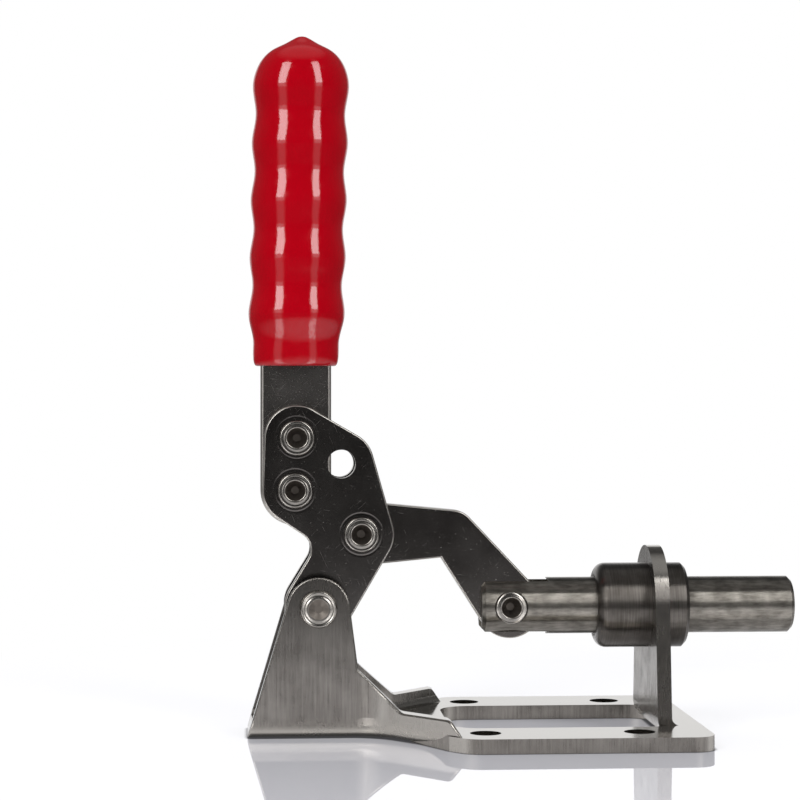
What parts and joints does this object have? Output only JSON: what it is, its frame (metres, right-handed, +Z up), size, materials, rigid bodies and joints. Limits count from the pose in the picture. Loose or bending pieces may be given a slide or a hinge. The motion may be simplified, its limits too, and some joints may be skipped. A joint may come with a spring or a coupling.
{
  "type": "toggle clamp",
  "caption": "Straight-line push-pull toggle clamp: an upright handle drives a plunger through a guide barrel on a slotted base with four holes.",
  "frame": {"origin": "centre of the four base holes, on the underside", "axes": "+X the way the plunger pushes, +Z up, +Y across the base"},
  "size_m": [0.1549, 0.084, 0.1967],
  "materials": {
    "base_steel": "folded stainless plate, satin",
    "lever_steel": "punched stainless plate, tumbled",
    "turned_steel": "turned and ground",
    "rivet_steel": "formed, bright",
    "grip_plastic": "glossy moulded"
  },
  "bodies": {
    "base": {"base_plate": "base_steel", "guide_barrel": "turned_steel", "main_pivot_rivet": "rivet_steel", "pivot_washer_near": "rivet_steel", "pivot_washer_far": "rivet_steel"},
    "lever": {"lever_plate_near": "lever_steel", "lever_plate_far": "lever_steel", "handle_bar": "lever_steel", "grip": "grip_plastic", "handle_rivet_upper": "rivet_steel", "handle_rivet_lower": "rivet_steel", "link_rivet": "rivet_steel"},
    "link": {"link": "lever_steel"},
    "plunger": {"plunger": "turned_steel", "plunger_rivet": "rivet_steel"}
  },
  "joints": [
    {"name": "lever_pivot", "type": "hinge", "parent": "base", "child": "lever", "pos_m": [-0.0656, 0, 0.0361], "axis": [0, 1, 0], "range_deg": [-8, 61.6]},
    {"name": "link_pivot", "type": "hinge", "parent": "lever", "child": "link", "pos_m": [-0.05348, 0, 0.05635], "axis": [0, 1, 0], "range_deg": [-87.6, 11.5]},
    {"name": "plunger_slide", "type": "slide", "parent": "base", "child": "plunger", "axis": [1, 0, 0], "range_m": [-0.0023, 0.0175]}
  ],
  "couplings": [
    {"joint": "link_pivot", "follows": "lever_pivot", "ratio": -1.42},
    {"joint": "plunger_slide", "follows": "lever_pivot", "m_per_rad": 0.0162}
  ]
}
